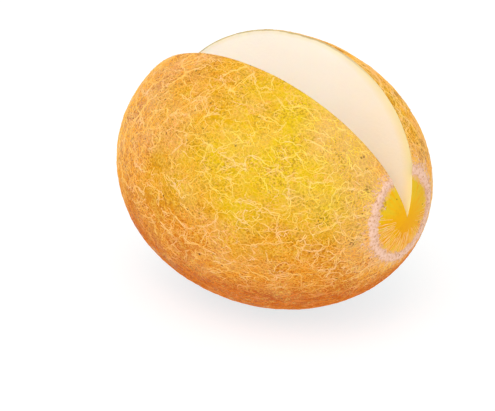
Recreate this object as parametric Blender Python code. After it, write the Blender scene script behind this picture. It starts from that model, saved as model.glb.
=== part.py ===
"""A netted canary melon lying on its side, with one wedge cut out of its top from end to end.

The fruit grew as one piece, so it is one solid. Its long axis runs along X, with the blossom end at +X and the
stem end at -X. It rests on a small flat spot at z = 0, and the origin is the middle of that spot. Its rind carries
a raised corky net, a ring of cork round the blossom end and a stem scar in a shallow hollow. The wedge's two cut
faces meet on the long axis and open the seed cavity.
"""

import math
import random

import bmesh
import bpy
from mathutils import Vector

# Outer form: a body of revolution, a little fuller and blunter towards the stem
LENGTH = 0.200
GIRTH = 0.1624
BLOSSOM_BLUNTNESS = 2.03
STEM_BLUNTNESS = 2.10
TAPER = -0.024

# Small flat spot that the fruit lies on, where the net is worn away
FLAT_DEPTH = 0.0015
WORN_REACH = 0.030

# Wedge cut out of the top
WEDGE_ANGLE = math.radians(42)
WEDGE_OVERHANG = 0.020

# Raised net: cells of bare rind with a strand of cork along every border
CELL_COUNT = 640
CELL_SCATTER = 0.30
SHORTEST_STRAND = 0.0026
STRAND_WIDTH = 0.0026
STRAND_WIDTH_SPREAD = 0.35
NET_HEIGHT = 0.0009
NET_SEED = 7

# Ring of cork round the blossom end, and the bare cap inside it
RING_RADIUS = 0.0270
RING_WIDTH = 0.0076
RING_HEIGHT = 0.0018
RING_WANDER = 0.0005
RING_BENDS = 5
RING_RIPPLES = 9
RING_STEPS_ROUND = 60
RING_STEPS_ACROSS = 10
CAP_SINK = 0.0010

# Stem end: a shallow hollow with a scar of cork in it
HOLLOW_RADIUS = 0.0170
HOLLOW_DEPTH = 0.0045
SCAR_RADIUS = 0.0085
SCAR_HEIGHT = 0.0018
SCAR_PIT_DEPTH = 0.0012
SCAR_ROOT = 0.0030
SCAR_STEPS = 28

# Seed cavity, scraped clean: long soft ribs between the beds that held the seeds
CAVITY_STEM_X = -0.068
CAVITY_BLOSSOM_X = 0.076
CAVITY_RADIUS = 0.0270
CAVITY_BLUNTNESS = 0.80
CARPELS = 3
CARPEL_DEPTH = 0.0014
RIBS = 9
RIB_DEPTH = 0.0009
CAVITY_STEPS_ROUND = 36
CAVITY_STEPS_ALONG = 18

HALF_LENGTH = LENGTH / 2
HALF_GIRTH = GIRTH / 2
AXIS_HEIGHT = HALF_GIRTH - FLAT_DEPTH


def clear_scene():
    """Removes whatever the scene holds."""
    for obj in list(bpy.data.objects):
        bpy.data.objects.remove(obj)


def principled(name, colour, roughness):
    """A material of one colour and roughness."""
    material = bpy.data.materials.new(name)
    material.use_nodes = True
    shader = material.node_tree.nodes["Principled BSDF"]
    shader.inputs["Base Color"].default_value = (*colour, 1.0)
    shader.inputs["Roughness"].default_value = roughness
    shader.inputs["Metallic"].default_value = 0.0
    return material


def body_point(direction, sink=0.0):
    """The outer form's point in a direction from the fruit's middle, moved inwards by sink."""
    across = max(math.hypot(direction.y, direction.z), 1e-9)
    bluntness = BLOSSOM_BLUNTNESS if direction.x > 0 else STEM_BLUNTNESS
    reach = (abs(direction.x) ** bluntness + across**bluntness) ** (-1 / bluntness)
    radius = HALF_GIRTH * reach * (1 + TAPER * reach * direction.x)
    point = Vector((HALF_LENGTH * reach * direction.x, radius * direction.y, radius * direction.z))
    point *= 1 - sink / point.length
    return point + Vector((0, 0, AXIS_HEIGHT))


def from_axis(point):
    """A point's distance from the long axis."""
    return math.hypot(point.y, point.z - AXIS_HEIGHT)


def scattered_directions():
    """One direction for each cell, spread evenly by the golden angle and then moved a little at random."""
    draw = random.Random(NET_SEED)
    golden_angle = math.pi * (3 - math.sqrt(5))
    spacing = math.sqrt(4 * math.pi / CELL_COUNT)
    directions = []
    for i in range(CELL_COUNT):
        x = 1 - (2 * i + 1) / CELL_COUNT
        across = math.sqrt(1 - x * x)
        even = Vector((x, across * math.cos(golden_angle * i), across * math.sin(golden_angle * i)))
        move = Vector([draw.uniform(-1, 1) for _ in range(3)])
        directions.append((even + CELL_SCATTER * spacing * move).normalized())
    return directions


def net_cells(directions):
    """Splits a sphere into the areas nearest to each direction: their corners, and each cell's corner numbers."""
    hull = bmesh.new()
    seeds = [hull.verts.new(direction) for direction in directions]
    bmesh.ops.convex_hull(hull, input=seeds)
    hull.normal_update()
    hull.faces.index_update()
    corners = []
    for face in hull.faces:
        outwards = face.normal.dot(face.calc_center_median()) > 0
        corners.append(face.normal.copy() if outwards else -face.normal)
    cells = []
    for seed in seeds:
        east = seed.co.orthogonal().normalized()
        north = seed.co.cross(east)
        bearings = {
            face.index: math.atan2(corners[face.index].dot(north), corners[face.index].dot(east))
            for face in seed.link_faces
        }
        cells.append(sorted(bearings, key=bearings.get))
    hull.free()
    return corners, cells


def carries_net(face):
    """Whether a cell lies outside the blossom ring and off the worn spot below."""
    middle = face.calc_center_median()
    in_cap = middle.x > 0 and from_axis(middle) < RING_RADIUS
    worn = middle.z < AXIS_HEIGHT and math.hypot(middle.x, middle.y) < WORN_REACH
    return not (in_cap or worn)


def netted_skin():
    """The closed outer skin: each cell is let in below its borders, which are left standing as the net."""
    corners, cells = net_cells(scattered_directions())
    skin = bmesh.new()
    points = []
    for corner in corners:
        point = body_point(corner)
        in_cap = point.x > 0 and from_axis(point) < RING_RADIUS
        points.append(skin.verts.new(body_point(corner, CAP_SINK) if in_cap else point))
    for cell in cells:
        skin.faces.new([points[number] for number in cell])
    bmesh.ops.remove_doubles(skin, verts=skin.verts, dist=SHORTEST_STRAND)
    draw = random.Random(NET_SEED)
    for face in [face for face in skin.faces if carries_net(face)]:
        share = 1 + draw.uniform(-STRAND_WIDTH_SPREAD, STRAND_WIDTH_SPREAD)
        bmesh.ops.inset_individual(
            skin,
            faces=[face],
            thickness=share * STRAND_WIDTH / 2,
            depth=-NET_HEIGHT,
            use_even_offset=True,
        )
    bmesh.ops.triangulate(skin, faces=skin.faces)
    return skin


def ring_wave(turn):
    """How far the cork ring wanders outwards from a true circle at a turn about the axis."""
    return RING_WANDER * (math.sin(RING_BENDS * turn) + 0.6 * math.sin(RING_RIPPLES * turn))


def turned(profile, steps, wave=lambda turn: 0.0):
    """Turns a closed profile of (x, distance from the axis) about the long axis into a closed shape.

    A profile point on the axis makes one shared tip. wave moves each step outwards by its own amount.
    """
    shape = bmesh.new()
    rows = []
    for x, radius in profile:
        if radius == 0:
            rows.append([shape.verts.new((x, 0, AXIS_HEIGHT))])
            continue
        row = []
        for step in range(steps):
            turn = 2 * math.pi * step / steps
            distance = radius + wave(turn)
            place = (x, distance * math.cos(turn), AXIS_HEIGHT + distance * math.sin(turn))
            row.append(shape.verts.new(place))
        rows.append(row)
    first_is_tip = len(rows[0]) == 1
    pairs = zip(rows[:-1], rows[1:]) if first_is_tip else zip(rows, rows[1:] + rows[:1])
    for row, after in pairs:
        for step in range(steps):
            following = (step + 1) % steps
            corners = [row[step % len(row)], after[step % len(after)]]
            corners += [after[following % len(after)], row[following % len(row)]]
            shape.faces.new(list(dict.fromkeys(corners)))
    bmesh.ops.recalc_face_normals(shape, faces=shape.faces)
    bmesh.ops.triangulate(shape, faces=shape.faces)
    return shape


def blossom_ring():
    """The welt of cork round the blossom end, half sunk in the rind."""
    crown_angle = math.asin(RING_RADIUS / HALF_GIRTH)
    middle = body_point(Vector((math.cos(crown_angle), math.sin(crown_angle), 0)))
    # The rind's slope there, as an ellipse has it
    slope = math.atan2(RING_RADIUS * HALF_LENGTH**2, middle.x * HALF_GIRTH**2)
    outwards = Vector((math.cos(slope), math.sin(slope)))
    along_rind = Vector((-outwards.y, outwards.x))
    centre = Vector((middle.x, from_axis(middle)))
    profile = []
    for i in range(RING_STEPS_ACROSS):
        angle = 2 * math.pi * i / RING_STEPS_ACROSS
        place = centre + along_rind * RING_WIDTH / 2 * math.cos(angle)
        place += outwards * RING_HEIGHT * math.sin(angle)
        profile.append(tuple(place))
    return turned(profile, RING_STEPS_ROUND, ring_wave)


def stem_hollow():
    """The cutter of the shallow hollow at the stem end: a sphere that reaches in by the hollow's depth."""
    sphere_radius = (HOLLOW_RADIUS**2 + HOLLOW_DEPTH**2) / (2 * HOLLOW_DEPTH)
    shape = bmesh.new()
    bmesh.ops.create_uvsphere(shape, u_segments=48, v_segments=40, radius=sphere_radius)
    middle = Vector((HOLLOW_DEPTH - HALF_LENGTH - sphere_radius, 0, AXIS_HEIGHT))
    bmesh.ops.translate(shape, verts=shape.verts, vec=middle)
    return shape


def stem_scar():
    """The scar's rim of cork with a small pit in its middle, rooted in the hollow's floor."""
    floor = HOLLOW_DEPTH - HALF_LENGTH
    crown = floor - SCAR_HEIGHT
    profile = [
        (crown + SCAR_PIT_DEPTH, 0),
        (crown + 0.8 * SCAR_PIT_DEPTH, 0.25 * SCAR_RADIUS),
        (crown, 0.50 * SCAR_RADIUS),
        (crown, 0.75 * SCAR_RADIUS),
        (crown + 0.4 * SCAR_HEIGHT, 0.95 * SCAR_RADIUS),
        (floor + SCAR_ROOT, SCAR_RADIUS),
        (floor + SCAR_ROOT, 0),
    ]
    return turned(profile, SCAR_STEPS)


def wedge():
    """The cutter of the wedge: a long prism whose lowest edge lies on the fruit's axis."""
    reach = HALF_LENGTH + WEDGE_OVERHANG
    top = HALF_GIRTH + WEDGE_OVERHANG
    half_width = top * math.tan(WEDGE_ANGLE / 2)
    shape = bmesh.new()
    corners = []
    for x in (-reach, reach):
        corners.append(shape.verts.new((x, 0, AXIS_HEIGHT)))
        corners.append(shape.verts.new((x, half_width, AXIS_HEIGHT + top)))
        corners.append(shape.verts.new((x, -half_width, AXIS_HEIGHT + top)))
    for numbers in ((0, 1, 2), (3, 4, 5), (0, 1, 4, 3), (1, 2, 5, 4), (2, 0, 3, 5)):
        shape.faces.new([corners[number] for number in numbers])
    bmesh.ops.recalc_face_normals(shape, faces=shape.faces)
    return shape


def seed_cavity():
    """The cutter of the seed cavity: blunt at both ends, with long ribs that fade out towards them."""
    middle = (CAVITY_STEM_X + CAVITY_BLOSSOM_X) / 2
    half_length = (CAVITY_BLOSSOM_X - CAVITY_STEM_X) / 2
    shape = bmesh.new()
    tips = [shape.verts.new((middle + side * half_length, 0, AXIS_HEIGHT)) for side in (1, -1)]
    rows = []
    for i in range(1, CAVITY_STEPS_ALONG):
        angle = math.pi * i / CAVITY_STEPS_ALONG
        fullness = math.sin(angle) ** CAVITY_BLUNTNESS
        row = []
        for step in range(CAVITY_STEPS_ROUND):
            turn = 2 * math.pi * step / CAVITY_STEPS_ROUND
            ribs = CARPEL_DEPTH * math.cos(CARPELS * turn) + RIB_DEPTH * math.cos(RIBS * turn)
            radius = fullness * CAVITY_RADIUS + math.sin(angle) * ribs
            place = (
                middle + half_length * math.cos(angle),
                radius * math.sin(turn),
                AXIS_HEIGHT - radius * math.cos(turn),
            )
            row.append(shape.verts.new(place))
        rows.append(row)
    for step in range(CAVITY_STEPS_ROUND):
        following = (step + 1) % CAVITY_STEPS_ROUND
        shape.faces.new((tips[0], rows[0][step], rows[0][following]))
        shape.faces.new((tips[1], rows[-1][following], rows[-1][step]))
        for row, after in zip(rows, rows[1:]):
            shape.faces.new((row[step], after[step], after[following], row[following]))
    bmesh.ops.recalc_face_normals(shape, faces=shape.faces)
    bmesh.ops.triangulate(shape, faces=shape.faces)
    return shape


def ground():
    """The cutter of the flat spot: everything below z = 0."""
    shape = bmesh.new()
    bmesh.ops.create_cube(shape, size=LENGTH)
    bmesh.ops.translate(shape, verts=shape.verts, vec=(0, 0, -LENGTH / 2))
    return shape


def add_object(name, shape, materials, helper=False):
    """An object with this shape, which is used up. A helper shapes another object and isn't part of the fruit."""
    mesh = bpy.data.meshes.new(name)
    shape.to_mesh(mesh)
    shape.free()
    mesh.shade_smooth()
    for material in materials:
        mesh.materials.append(material)
    obj = bpy.data.objects.new(name, mesh)
    bpy.context.scene.collection.objects.link(obj)
    if helper:
        obj.hide_render = True
        obj.display_type = "WIRE"
    return obj


def combine(target, other, operation):
    """Joins another object to the target, or cuts it away."""
    boolean = target.modifiers.new(other.name, "BOOLEAN")
    boolean.operation = operation
    boolean.solver = "EXACT"
    boolean.material_mode = "TRANSFER"
    boolean.object = other


def main():
    clear_scene()
    rind = principled("golden_rind", (0.85, 0.47, 0.04), 0.45)
    cork = principled("net_cork", (0.83, 0.52, 0.24), 0.85)
    flesh = principled("cream_flesh", (0.96, 0.84, 0.68), 0.35)

    melon = add_object("melon", netted_skin(), [rind, cork, flesh])
    combine(melon, add_object("blossom_ring", blossom_ring(), [cork], True), "UNION")
    combine(melon, add_object("stem_hollow", stem_hollow(), [rind], True), "DIFFERENCE")
    combine(melon, add_object("stem_scar", stem_scar(), [cork], True), "UNION")
    combine(melon, add_object("wedge", wedge(), [flesh], True), "DIFFERENCE")
    combine(melon, add_object("seed_cavity", seed_cavity(), [flesh], True), "DIFFERENCE")
    combine(melon, add_object("ground", ground(), [rind], True), "DIFFERENCE")


main()
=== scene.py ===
"""Looks of a netted canary melon that lies on its side with a wedge cut out of its top.

The fruit's long axis runs along X, with the blossom end at +X, and it rests on z = 0. Every size
is in metres unless its name ends in _mm or _px, and every colour is an sRGB hex value. The rind,
the cut flesh and the seed cavity are one closed mesh. The corky net, the ring round the blossom
end, the stem scar and the fibres in the cavity are pieces of their own on it.
"""

from __future__ import annotations

import logging
import math
import random
from dataclasses import dataclass, field
from enum import Enum
from typing import Any

import bmesh
import bpy
import numpy as np
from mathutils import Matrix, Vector, noise

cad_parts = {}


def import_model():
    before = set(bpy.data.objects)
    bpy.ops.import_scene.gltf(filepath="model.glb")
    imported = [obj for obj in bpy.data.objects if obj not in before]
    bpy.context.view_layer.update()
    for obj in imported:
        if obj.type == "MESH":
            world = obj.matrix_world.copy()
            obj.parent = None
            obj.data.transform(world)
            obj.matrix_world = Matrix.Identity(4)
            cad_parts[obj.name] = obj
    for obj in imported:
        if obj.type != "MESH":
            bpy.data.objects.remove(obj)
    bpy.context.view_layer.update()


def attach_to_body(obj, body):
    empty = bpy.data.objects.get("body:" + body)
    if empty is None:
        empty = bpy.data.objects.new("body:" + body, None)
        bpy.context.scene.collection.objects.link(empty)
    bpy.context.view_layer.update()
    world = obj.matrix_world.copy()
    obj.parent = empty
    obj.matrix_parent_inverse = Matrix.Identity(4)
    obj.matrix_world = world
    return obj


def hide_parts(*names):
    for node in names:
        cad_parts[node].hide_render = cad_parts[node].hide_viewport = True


BODY = "root"
NODE = "melon"
IMAGE_WIDTH_PX = 495
IMAGE_HEIGHT_PX = 411
SENSOR_WIDTH_MM = 36.0

Tree = bpy.types.NodeTree
Socket = bpy.types.NodeSocket
Point = tuple[float, float, float]
Colour = tuple[float, float, float, float]

log = logging.getLogger("melon")


def linear(hex_colour: str) -> Colour:
    """Turns an sRGB hex colour into a linear colour with full alpha.

    Args:
        hex_colour: Six hex digits, with or without a leading hash.

    Returns:
        Red, green, blue and alpha as linear values.
    """
    digits = hex_colour.lstrip("#")
    shares = [int(digits[i : i + 2], 16) / 255 for i in (0, 2, 4)]
    light = [s / 12.92 if s <= 0.04045 else ((s + 0.055) / 1.055) ** 2.4 for s in shares]
    return (light[0], light[1], light[2], 1.0)


def per_metre(size_mm: float) -> float:
    """Gives the texture scale whose pattern repeats about every size_mm millimetres."""
    return 1000.0 / size_mm


def add_node(
    tree: Tree,
    kind: str,
    settings: dict[str, Any] | None = None,
    inputs: dict[str | int, Any] | None = None,
) -> bpy.types.Node:
    """Adds one node to a tree.

    Args:
        tree: The shader or geometry tree that gets the node.
        kind: The node's type name.
        settings: The node's own properties and their values.
        inputs: A constant or another node's socket for each input, by socket name or number.

    Returns:
        The new node.
    """
    node = tree.nodes.new(kind)
    for name, value in (settings or {}).items():
        setattr(node, name, value)
    for key, value in (inputs or {}).items():
        if isinstance(value, Socket):
            tree.links.new(value, node.inputs[key])
        else:
            node.inputs[key].default_value = value
    return node


def calculate(tree: Tree, operation: str, *terms: Socket | float, clamp: bool = False) -> Socket:
    """Adds a math node.

    Args:
        tree: The tree that gets the node.
        operation: What it works out.
        terms: Its constants and sockets in their order.
        clamp: Whether the result is held between 0 and 1.

    Returns:
        The socket of its result.
    """
    settings = {"operation": operation, "use_clamp": clamp}
    return add_node(tree, "ShaderNodeMath", settings, dict(enumerate(terms))).outputs[0]


def calculate_vector(tree: Tree, operation: str, *terms: Socket | Point) -> Socket:
    """Adds a vector math node.

    Args:
        tree: The tree that gets the node.
        operation: What it works out.
        terms: Its constants and sockets in their order.

    Returns:
        The socket of its result, a number for some operations and else a vector.
    """
    node = add_node(
        tree, "ShaderNodeVectorMath", {"operation": operation}, dict(enumerate(terms))
    )
    gives_number = operation in ("DISTANCE", "LENGTH", "DOT_PRODUCT")
    return node.outputs["Value" if gives_number else "Vector"]


def remap(
    tree: Tree,
    value: Socket,
    start: Socket | float,
    end: Socket | float,
    low: Socket | float = 0.0,
    high: Socket | float = 1.0,
) -> Socket:
    """Adds a node that turns one range of a number into another and holds it at both ends.

    Args:
        tree: The tree that gets the node.
        value: The number.
        start: Where the number gives low.
        end: Where it gives high. It may be less than start.
        low: The result at the start.
        high: The result at the end.

    Returns:
        The socket of the result.
    """
    inputs = {"Value": value, "From Min": start, "From Max": end, "To Min": low, "To Max": high}
    return add_node(tree, "ShaderNodeMapRange", inputs=inputs).outputs[0]


def add_noise(
    tree: Tree,
    place: Socket,
    size_mm: float,
    detail: float = 2.0,
    roughness: float = 0.5,
    seed: Socket | float | None = None,
) -> bpy.types.Node:
    """Adds a noise texture.

    Args:
        tree: The tree that gets it.
        place: The points at which it is sampled.
        size_mm: The size of its pattern in millimetres.
        detail: How many finer layers it has.
        roughness: How strong these layers are.
        seed: Its fourth coordinate, if it has one.

    Returns:
        The texture's node.
    """
    inputs = {
        "Vector": place,
        "Scale": per_metre(size_mm),
        "Detail": detail,
        "Roughness": roughness,
    }
    if seed is None:
        return add_node(tree, "ShaderNodeTexNoise", inputs=inputs)
    settings = {"noise_dimensions": "4D"}
    return add_node(tree, "ShaderNodeTexNoise", settings, {**inputs, "W": seed})


def blend(tree: Tree, share: Socket, under: Socket | Colour, over: Socket | Colour) -> Socket:
    """Lays one colour over another.

    Args:
        tree: The tree that gets the node.
        share: How much of the upper colour shows.
        under: The lower colour.
        over: The upper colour.

    Returns:
        The socket of the mix.
    """
    inputs = {0: share, 6: under, 7: over}
    return add_node(tree, "ShaderNodeMix", {"data_type": "RGBA"}, inputs).outputs[2]


def colour_ramp(tree: Tree, share: Socket, stops: list[tuple[float, str]]) -> Socket:
    """Adds a colour ramp.

    Args:
        tree: The tree that gets it.
        share: The number that it turns into a colour.
        stops: Positions from 0 to 1, each with its hex colour.

    Returns:
        The socket of the colour.
    """
    node = add_node(tree, "ShaderNodeValToRGB", inputs={0: share})
    elements = node.color_ramp.elements
    while len(elements) < len(stops):
        elements.new(0.5)
    for element, (position, colour) in zip(elements, stops):
        element.position = position
        element.color = linear(colour)
    return node.outputs["Color"]


def add_bump(
    tree: Tree, shader: bpy.types.Node, height: Socket, strength: float, distance: float
) -> None:
    """Roughens a shader's surface.

    Args:
        tree: The material's tree.
        shader: The shader.
        height: The height of the bumps, from 0 to 1.
        strength: How much of them shows.
        distance: Their largest height.
    """
    inputs = {"Height": height, "Strength": strength, "Distance": distance}
    bump = add_node(tree, "ShaderNodeBump", inputs=inputs)
    tree.links.new(bump.outputs[0], shader.inputs["Normal"])


class Skin(Enum):
    """The surfaces of the body's closed mesh, in the order of its material slots."""

    RIND = 0
    FLESH = 1


@dataclass(frozen=True)
class MelonForm:
    """Outer form of the fruit: a body of revolution about a level axis, with its ends shaped."""

    length: float = 0.200
    girth: float = 0.1624
    blossom_bluntness: float = 2.03
    stem_bluntness: float = 2.10
    taper: float = -0.024
    flat_depth: float = 0.0015
    skin_drop: float = 0.0005
    ring_radius: float = 0.0266
    ring_shift: float = 0.0014
    ring_shift_turn: float = math.radians(60)
    cap_sink: float = 0.0008
    cap_blend: float = 0.0030
    hollow_radius: float = 0.0175
    hollow_depth: float = 0.0045
    half_cut: float = math.radians(21)

    @property
    def axis_height(self) -> float:
        """Height of the long axis above the surface that the fruit lies on."""
        return self.girth / 2 - self.flat_depth

    def ring_reach(self, turn: np.ndarray | float) -> np.ndarray | float:
        """Gives the off-centre cork ring's distance from the long axis at a turn about it."""
        return self.ring_radius + self.ring_shift * np.cos(turn - self.ring_shift_turn)

    def point(self, polar: np.ndarray, turn: np.ndarray, lift: float = 0.0) -> np.ndarray:
        """Finds points of the bare rind.

        Args:
            polar: Angles from the blossom end, 0 to pi.
            turn: Angles about the long axis from straight up towards +Y.
            lift: How far above the bare rind the points lie.

        Returns:
            An array of points, with x, y and z last.
        """
        along, across = np.cos(polar), np.maximum(np.sin(polar), 0.0)
        bluntness = np.where(along > 0, self.blossom_bluntness, self.stem_bluntness)
        reach = (np.abs(along) ** bluntness + across**bluntness) ** (-1 / bluntness)
        x = self.length / 2 * reach * along
        radius = self.girth / 2 * reach * across * (1 + self.taper * reach * along)
        inside_ring = np.clip((self.ring_reach(turn) - radius) / self.cap_blend, 0, 1) * (x > 0)
        sink = self.skin_drop - lift + self.cap_sink * smooth(inside_ring)
        share = 1 - sink / np.hypot(x, radius)
        hollow = smooth(np.clip(1 - radius / self.hollow_radius, 0, 1)) * (x < 0)
        x = x * share + self.hollow_depth * hollow
        radius = radius * share
        height = self.axis_height + radius * np.cos(turn)
        return np.stack([x, radius * np.sin(turn), height], axis=-1)


def smooth(share: np.ndarray) -> np.ndarray:
    """Eases a share from 0 to 1 at both ends."""
    return share * share * (3 - 2 * share)


def relief(points: np.ndarray, size: float, depth: float, stretch: float = 1.0) -> np.ndarray:
    """Samples soft noise at each point.

    Args:
        points: Points with x, y and z last.
        size: Size of the bumps.
        depth: Largest height of the bumps.
        stretch: How many times longer the bumps are along X.

    Returns:
        A height for each point.
    """
    scaled = points.reshape(-1, 3) / size
    scaled[:, 0] /= stretch
    heights = [noise.noise(Vector(place)) for place in scaled]
    return depth * np.array(heights).reshape(points.shape[:-1])


@dataclass
class MeshBuilder:
    """Gathers grids of points into one closed mesh with a few numbers on each point."""

    points: list[np.ndarray] = field(default_factory=list)
    faces: list[np.ndarray] = field(default_factory=list)
    slots: list[np.ndarray] = field(default_factory=list)
    numbers: dict[str, list[np.ndarray]] = field(default_factory=dict)
    count: int = 0
    crease: float = math.radians(40)
    weld_gap: float = 1e-6
    sliver: float = 1e-7

    def add_grid(self, grid: np.ndarray, slot: int = 0, **numbers: np.ndarray) -> None:
        """Adds a grid of points as a sheet of quads.

        Args:
            grid: Points by row and column, with x, y and z last.
            slot: The material slot of its faces.
            numbers: Named values for each point, in arrays of rows and columns.
        """
        rows, columns = grid.shape[:2]
        index = np.arange(rows * columns).reshape(rows, columns) + self.count
        corners = [index[:-1, :-1], index[1:, :-1], index[1:, 1:], index[:-1, 1:]]
        quads = np.stack(corners, axis=-1).reshape(-1, 4)
        self.points.append(grid.reshape(-1, 3))
        self.faces.append(quads)
        self.slots.append(np.full(len(quads), slot))
        for name, values in numbers.items():
            self.numbers.setdefault(name, []).append(values.reshape(-1))
        self.count += rows * columns

    def finish(self, name: str, materials: list[bpy.types.Material]) -> bpy.types.Object:
        """Welds the grids along their shared borders.

        Args:
            name: The object's name.
            materials: Its material slots.

        Returns:
            The object, smooth shaded, with its faces pointing outwards.
        """
        mesh = bpy.data.meshes.new(name)
        mesh.from_pydata(np.concatenate(self.points), [], np.concatenate(self.faces))
        for material in materials:
            mesh.materials.append(material)
        slots = np.concatenate(self.slots).astype(np.int32)
        mesh.polygons.foreach_set("material_index", slots)
        for label, values in self.numbers.items():
            layer = mesh.attributes.new(label, "FLOAT", "POINT")
            layer.data.foreach_set("value", np.concatenate(values).astype(np.float32))
        shape = bmesh.new()
        shape.from_mesh(mesh)
        bmesh.ops.remove_doubles(shape, verts=shape.verts, dist=self.weld_gap)
        bmesh.ops.dissolve_degenerate(shape, edges=shape.edges, dist=self.sliver)
        bmesh.ops.recalc_face_normals(shape, faces=shape.faces)
        shape.to_mesh(mesh)
        shape.free()
        mesh.shade_smooth()
        mesh.set_sharp_from_angle(angle=self.crease)
        obj = bpy.data.objects.new(name, mesh)
        bpy.context.scene.collection.objects.link(obj)
        return obj


def attach(piece: bpy.types.Object) -> None:
    """Lets a finished piece ride on the fruit's body and stand for its solid.

    Args:
        piece: The piece, which also goes into the log with its number of triangles.
    """
    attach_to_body(piece, BODY)
    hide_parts(NODE)
    triangles = sum(len(polygon.vertices) - 2 for polygon in piece.data.polygons)
    log.info("%s: %d triangles", piece.name, triangles)


@dataclass(frozen=True)
class FruitTone:
    """Where the fruit is lemon yellow, golden, orange or deep orange, shared by the rind and the
    net: partly its own tone and partly painted shade, yellow on the brightly lit flank and darker
    away from it and towards the floor.
    """

    # The lit flank and the low side, where the tone also carries painted light and shade
    lit_bleached_flank: Point = (0.055, -0.050, 0.125)
    yellow_reach: float = 0.022
    orange_reach: float = 0.110
    far_orange_and_shade: float = 0.80
    low_start: float = 0.092
    low_orange_and_shade: float = 0.80
    patch_mm: float = 40.0
    patch_low: float = 0.30
    patch_high: float = 0.70
    patch_share: float = 0.20
    most: float = 1.6

    def add(self, tree: Tree, place: Socket) -> Socket:
        """Adds the nodes that work out the tone.

        Args:
            tree: The material's node tree.
            place: Object coordinates.

        Returns:
            A socket that is 0 on the bleached, brightly lit flank and 1 where the fruit is deepest
            orange and most in painted shade.
        """
        # Painted shade on top of the real tone: orange grows away from the lit flank and towards
        # the floor
        gap = calculate_vector(tree, "DISTANCE", place, self.lit_bleached_flank)
        away = remap(tree, gap, self.yellow_reach, self.orange_reach, high=self.far_orange_and_shade)
        height = add_node(tree, "ShaderNodeSeparateXYZ", inputs={0: place}).outputs["Z"]
        low = remap(tree, height, self.low_start, 0.0, high=self.low_orange_and_shade)
        patches = add_noise(tree, place, self.patch_mm, detail=4.0, roughness=0.62)
        spread = remap(
            tree,
            patches.outputs["Fac"],
            self.patch_low,
            self.patch_high,
            -self.patch_share,
            self.patch_share,
        )
        total = calculate(tree, "ADD", calculate(tree, "ADD", away, low), spread)
        return calculate(tree, "DIVIDE", total, self.most)


@dataclass(frozen=True)
class Patch:
    """A round patch of the fruit that fades out from its middle."""

    middle: Point
    reach: float
    core: float
    share: float

    def add(self, tree: Tree, place: Socket) -> Socket:
        """Adds the patch's strength at each place and returns its socket."""
        gap = calculate_vector(tree, "DISTANCE", place, self.middle)
        return remap(tree, gap, self.reach, self.core, high=self.share)


def new_material(name: str) -> tuple[bpy.types.Material, Tree, bpy.types.Node]:
    """Makes a material with a Principled shader.

    Args:
        name: The material's name.

    Returns:
        The material, its node tree and its shader node.
    """
    material = bpy.data.materials.new(name)
    material.use_nodes = True
    return material, material.node_tree, material.node_tree.nodes["Principled BSDF"]


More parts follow.
